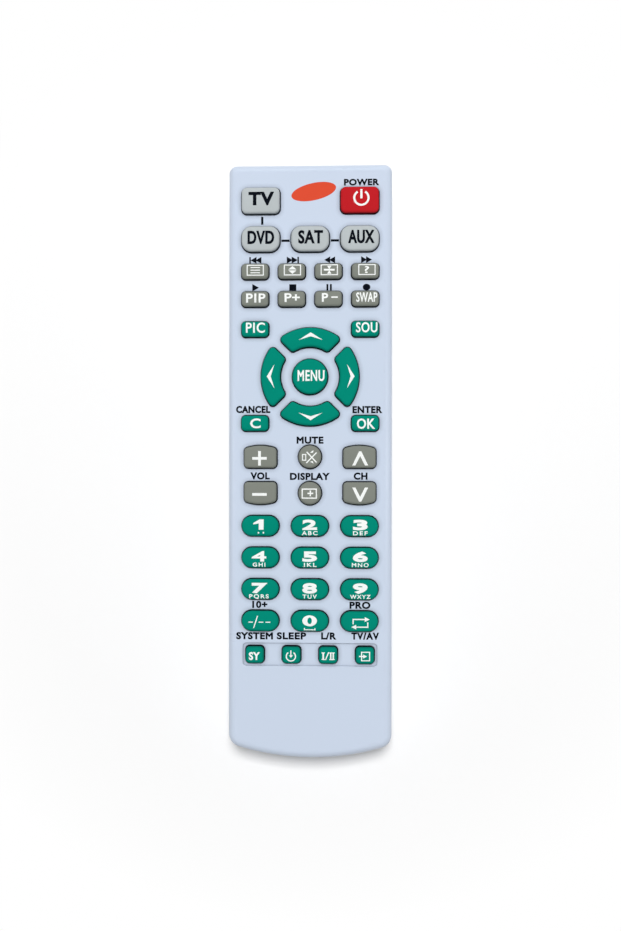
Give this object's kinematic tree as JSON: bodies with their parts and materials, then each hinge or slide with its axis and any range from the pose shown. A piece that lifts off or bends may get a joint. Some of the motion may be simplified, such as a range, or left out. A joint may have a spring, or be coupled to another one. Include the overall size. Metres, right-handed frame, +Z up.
{
  "type": "universal remote control",
  "caption": "Slim handheld remote control: pale two-part case with a bowed tail, rubber keys that spring back, a ring of arrow keys, an infrared window and a sliding battery door.",
  "frame": {"origin": "middle of the bounding box, on the resting face under the case", "axes": "+Y along the case to the infrared end, +Z up out of the key face, +X to the right of the key face"},
  "size_m": [0.05, 0.1818, 0.0226],
  "materials": {
    "case_plastic": "pale silver-blue, fine satin",
    "green_keys": "dull teal green",
    "grey_keys": "dull mid grey",
    "light_keys": "dull light grey",
    "red_key": "dull red",
    "mat_rubber": "dull grey",
    "board_laminate": "green solder mask",
    "window_plastic": "dark, see-through to infrared",
    "emitter_resin": "clear blue tint",
    "receiver_resin": "black",
    "lamp_resin": "milky",
    "chip_resin": "black moulding compound",
    "capacitor_sleeve": "dark blue sleeve",
    "plated_wire": "nickel plated",
    "cell_jacket": "plain dark blue-grey jacket",
    "steel": "zinc plated"
  },
  "bodies": {
    "case": {"face_cover": "case_plastic", "base_cover": "case_plastic", "keypad_mat": "mat_rubber", "circuit_board": "board_laminate", "infrared_window": "window_plastic", "infrared_emitter": "emitter_resin", "infrared_receiver": "receiver_resin", "mode_lamps": "lamp_resin", "control_chip": "chip_resin", "clock_crystal": "steel", "supply_capacitor": "capacitor_sleeve", "battery_springs": "plated_wire", "battery_contacts": "plated_wire", "battery_cells": "cell_jacket", "case_screws": "steel"},
    "battery_door": {"battery_door": "case_plastic"},
    "tv_key": {"tv_key": "light_keys"},
    "disc_key": {"disc_key": "light_keys"},
    "satellite_key": {"satellite_key": "light_keys"},
    "auxiliary_key": {"auxiliary_key": "light_keys"},
    "power_key": {"power_key": "red_key"},
    "text_key": {"text_key": "grey_keys"},
    "text_size_key": {"text_size_key": "grey_keys"},
    "text_hold_key": {"text_hold_key": "grey_keys"},
    "text_reveal_key": {"text_reveal_key": "grey_keys"},
    "inset_key": {"inset_key": "grey_keys"},
    "program_up_key": {"program_up_key": "grey_keys"},
    "program_down_key": {"program_down_key": "grey_keys"},
    "swap_key": {"swap_key": "grey_keys"},
    "volume_up_key": {"volume_up_key": "grey_keys"},
    "volume_down_key": {"volume_down_key": "grey_keys"},
    "mute_key": {"mute_key": "grey_keys"},
    "display_key": {"display_key": "grey_keys"},
    "channel_up_key": {"channel_up_key": "grey_keys"},
    "channel_down_key": {"channel_down_key": "grey_keys"},
    "picture_key": {"picture_key": "green_keys"},
    "sound_key": {"sound_key": "green_keys"},
    "up_key": {"up_key": "green_keys"},
    "left_key": {"left_key": "green_keys"},
    "down_key": {"down_key": "green_keys"},
    "right_key": {"right_key": "green_keys"},
    "menu_key": {"menu_key": "green_keys"},
    "cancel_key": {"cancel_key": "green_keys"},
    "ok_key": {"ok_key": "green_keys"},
    "digit_1_key": {"digit_1_key": "green_keys"},
    "digit_2_key": {"digit_2_key": "green_keys"},
    "digit_3_key": {"digit_3_key": "green_keys"},
    "digit_4_key": {"digit_4_key": "green_keys"},
    "digit_5_key": {"digit_5_key": "green_keys"},
    "digit_6_key": {"digit_6_key": "green_keys"},
    "digit_7_key": {"digit_7_key": "green_keys"},
    "digit_8_key": {"digit_8_key": "green_keys"},
    "digit_9_key": {"digit_9_key": "green_keys"},
    "dash_key": {"dash_key": "green_keys"},
    "digit_0_key": {"digit_0_key": "green_keys"},
    "recall_key": {"recall_key": "green_keys"},
    "system_key": {"system_key": "green_keys"},
    "sleep_key": {"sleep_key": "green_keys"},
    "audio_key": {"audio_key": "green_keys"},
    "input_key": {"input_key": "green_keys"}
  },
  "joints": [
    {"name": "battery_door_slide", "type": "slide", "parent": "case", "child": "battery_door", "axis": [0, -1, 0], "range_m": [0, 0.068]},
    {"name": "tv_key_press", "type": "slide", "parent": "case", "child": "tv_key", "axis": [0, 0, -1], "range_m": [0, 0.001], "stiffness_N_per_m": 800, "springref_m": -0.0005},
    {"name": "disc_key_press", "type": "slide", "parent": "case", "child": "disc_key", "axis": [0, 0, -1], "range_m": [0, 0.001], "stiffness_N_per_m": 800, "springref_m": -0.0005},
    {"name": "satellite_key_press", "type": "slide", "parent": "case", "child": "satellite_key", "axis": [0, 0, -1], "range_m": [0, 0.001], "stiffness_N_per_m": 800, "springref_m": -0.0005},
    {"name": "auxiliary_key_press", "type": "slide", "parent": "case", "child": "auxiliary_key", "axis": [0, 0, -1], "range_m": [0, 0.001], "stiffness_N_per_m": 800, "springref_m": -0.0005},
    {"name": "power_key_press", "type": "slide", "parent": "case", "child": "power_key", "axis": [0, 0, -1], "range_m": [0, 0.001], "stiffness_N_per_m": 800, "springref_m": -0.0005},
    {"name": "text_key_press", "type": "slide", "parent": "case", "child": "text_key", "axis": [0, 0, -1], "range_m": [0, 0.001], "stiffness_N_per_m": 800, "springref_m": -0.0005},
    {"name": "text_size_key_press", "type": "slide", "parent": "case", "child": "text_size_key", "axis": [0, 0, -1], "range_m": [0, 0.001], "stiffness_N_per_m": 800, "springref_m": -0.0005},
    {"name": "text_hold_key_press", "type": "slide", "parent": "case", "child": "text_hold_key", "axis": [0, 0, -1], "range_m": [0, 0.001], "stiffness_N_per_m": 800, "springref_m": -0.0005},
    {"name": "text_reveal_key_press", "type": "slide", "parent": "case", "child": "text_reveal_key", "axis": [0, 0, -1], "range_m": [0, 0.001], "stiffness_N_per_m": 800, "springref_m": -0.0005},
    {"name": "inset_key_press", "type": "slide", "parent": "case", "child": "inset_key", "axis": [0, 0, -1], "range_m": [0, 0.001], "stiffness_N_per_m": 800, "springref_m": -0.0005},
    {"name": "program_up_key_press", "type": "slide", "parent": "case", "child": "program_up_key", "axis": [0, 0, -1], "range_m": [0, 0.001], "stiffness_N_per_m": 800, "springref_m": -0.0005},
    {"name": "program_down_key_press", "type": "slide", "parent": "case", "child": "program_down_key", "axis": [0, 0, -1], "range_m": [0, 0.001], "stiffness_N_per_m": 800, "springref_m": -0.0005},
    {"name": "swap_key_press", "type": "slide", "parent": "case", "child": "swap_key", "axis": [0, 0, -1], "range_m": [0, 0.001], "stiffness_N_per_m": 800, "springref_m": -0.0005},
    {"name": "volume_up_key_press", "type": "slide", "parent": "case", "child": "volume_up_key", "axis": [0, 0, -1], "range_m": [0, 0.001], "stiffness_N_per_m": 800, "springref_m": -0.0005},
    {"name": "volume_down_key_press", "type": "slide", "parent": "case", "child": "volume_down_key", "axis": [0, 0, -1], "range_m": [0, 0.001], "stiffness_N_per_m": 800, "springref_m": -0.0005},
    {"name": "mute_key_press", "type": "slide", "parent": "case", "child": "mute_key", "axis": [0, 0, -1], "range_m": [0, 0.001], "stiffness_N_per_m": 800, "springref_m": -0.0005},
    {"name": "display_key_press", "type": "slide", "parent": "case", "child": "display_key", "axis": [0, 0, -1], "range_m": [0, 0.001], "stiffness_N_per_m": 800, "springref_m": -0.0005},
    {"name": "channel_up_key_press", "type": "slide", "parent": "case", "child": "channel_up_key", "axis": [0, 0, -1], "range_m": [0, 0.001], "stiffness_N_per_m": 800, "springref_m": -0.0005},
    {"name": "channel_down_key_press", "type": "slide", "parent": "case", "child": "channel_down_key", "axis": [0, 0, -1], "range_m": [0, 0.001], "stiffness_N_per_m": 800, "springref_m": -0.0005},
    {"name": "picture_key_press", "type": "slide", "parent": "case", "child": "picture_key", "axis": [0, 0, -1], "range_m": [0, 0.001], "stiffness_N_per_m": 800, "springref_m": -0.0005},
    {"name": "sound_key_press", "type": "slide", "parent": "case", "child": "sound_key", "axis": [0, 0, -1], "range_m": [0, 0.001], "stiffness_N_per_m": 800, "springref_m": -0.0005},
    {"name": "up_key_press", "type": "slide", "parent": "case", "child": "up_key", "axis": [0, 0, -1], "range_m": [0, 0.001], "stiffness_N_per_m": 800, "springref_m": -0.0005},
    {"name": "left_key_press", "type": "slide", "parent": "case", "child": "left_key", "axis": [0, 0, -1], "range_m": [0, 0.001], "stiffness_N_per_m": 800, "springref_m": -0.0005},
    {"name": "down_key_press", "type": "slide", "parent": "case", "child": "down_key", "axis": [0, 0, -1], "range_m": [0, 0.001], "stiffness_N_per_m": 800, "springref_m": -0.0005},
    {"name": "right_key_press", "type": "slide", "parent": "case", "child": "right_key", "axis": [0, 0, -1], "range_m": [0, 0.001], "stiffness_N_per_m": 800, "springref_m": -0.0005},
    {"name": "menu_key_press", "type": "slide", "parent": "case", "child": "menu_key", "axis": [0, 0, -1], "range_m": [0, 0.001], "stiffness_N_per_m": 800, "springref_m": -0.0005},
    {"name": "cancel_key_press", "type": "slide", "parent": "case", "child": "cancel_key", "axis": [0, 0, -1], "range_m": [0, 0.001], "stiffness_N_per_m": 800, "springref_m": -0.0005},
    {"name": "ok_key_press", "type": "slide", "parent": "case", "child": "ok_key", "axis": [0, 0, -1], "range_m": [0, 0.001], "stiffness_N_per_m": 800, "springref_m": -0.0005},
    {"name": "digit_1_key_press", "type": "slide", "parent": "case", "child": "digit_1_key", "axis": [0, 0, -1], "range_m": [0, 0.001], "stiffness_N_per_m": 800, "springref_m": -0.0005},
    {"name": "digit_2_key_press", "type": "slide", "parent": "case", "child": "digit_2_key", "axis": [0, 0, -1], "range_m": [0, 0.001], "stiffness_N_per_m": 800, "springref_m": -0.0005},
    {"name": "digit_3_key_press", "type": "slide", "parent": "case", "child": "digit_3_key", "axis": [0, 0, -1], "range_m": [0, 0.001], "stiffness_N_per_m": 800, "springref_m": -0.0005},
    {"name": "digit_4_key_press", "type": "slide", "parent": "case", "child": "digit_4_key", "axis": [0, 0, -1], "range_m": [0, 0.001], "stiffness_N_per_m": 800, "springref_m": -0.0005},
    {"name": "digit_5_key_press", "type": "slide", "parent": "case", "child": "digit_5_key", "axis": [0, 0, -1], "range_m": [0, 0.001], "stiffness_N_per_m": 800, "springref_m": -0.0005},
    {"name": "digit_6_key_press", "type": "slide", "parent": "case", "child": "digit_6_key", "axis": [0, 0, -1], "range_m": [0, 0.001], "stiffness_N_per_m": 800, "springref_m": -0.0005},
    {"name": "digit_7_key_press", "type": "slide", "parent": "case", "child": "digit_7_key", "axis": [0, 0, -1], "range_m": [0, 0.001], "stiffness_N_per_m": 800, "springref_m": -0.0005},
    {"name": "digit_8_key_press", "type": "slide", "parent": "case", "child": "digit_8_key", "axis": [0, 0, -1], "range_m": [0, 0.001], "stiffness_N_per_m": 800, "springref_m": -0.0005},
    {"name": "digit_9_key_press", "type": "slide", "parent": "case", "child": "digit_9_key", "axis": [0, 0, -1], "range_m": [0, 0.001], "stiffness_N_per_m": 800, "springref_m": -0.0005},
    {"name": "dash_key_press", "type": "slide", "parent": "case", "child": "dash_key", "axis": [0, 0, -1], "range_m": [0, 0.001], "stiffness_N_per_m": 800, "springref_m": -0.0005},
    {"name": "digit_0_key_press", "type": "slide", "parent": "case", "child": "digit_0_key", "axis": [0, 0, -1], "range_m": [0, 0.001], "stiffness_N_per_m": 800, "springref_m": -0.0005},
    {"name": "recall_key_press", "type": "slide", "parent": "case", "child": "recall_key", "axis": [0, 0, -1], "range_m": [0, 0.001], "stiffness_N_per_m": 800, "springref_m": -0.0005},
    {"name": "system_key_press", "type": "slide", "parent": "case", "child": "system_key", "axis": [0, 0, -1], "range_m": [0, 0.001], "stiffness_N_per_m": 800, "springref_m": -0.0005},
    {"name": "sleep_key_press", "type": "slide", "parent": "case", "child": "sleep_key", "axis": [0, 0, -1], "range_m": [0, 0.001], "stiffness_N_per_m": 800, "springref_m": -0.0005},
    {"name": "audio_key_press", "type": "slide", "parent": "case", "child": "audio_key", "axis": [0, 0, -1], "range_m": [0, 0.001], "stiffness_N_per_m": 800, "springref_m": -0.0005},
    {"name": "input_key_press", "type": "slide", "parent": "case", "child": "input_key", "axis": [0, 0, -1], "range_m": [0, 0.001], "stiffness_N_per_m": 800, "springref_m": -0.0005}
  ]
}
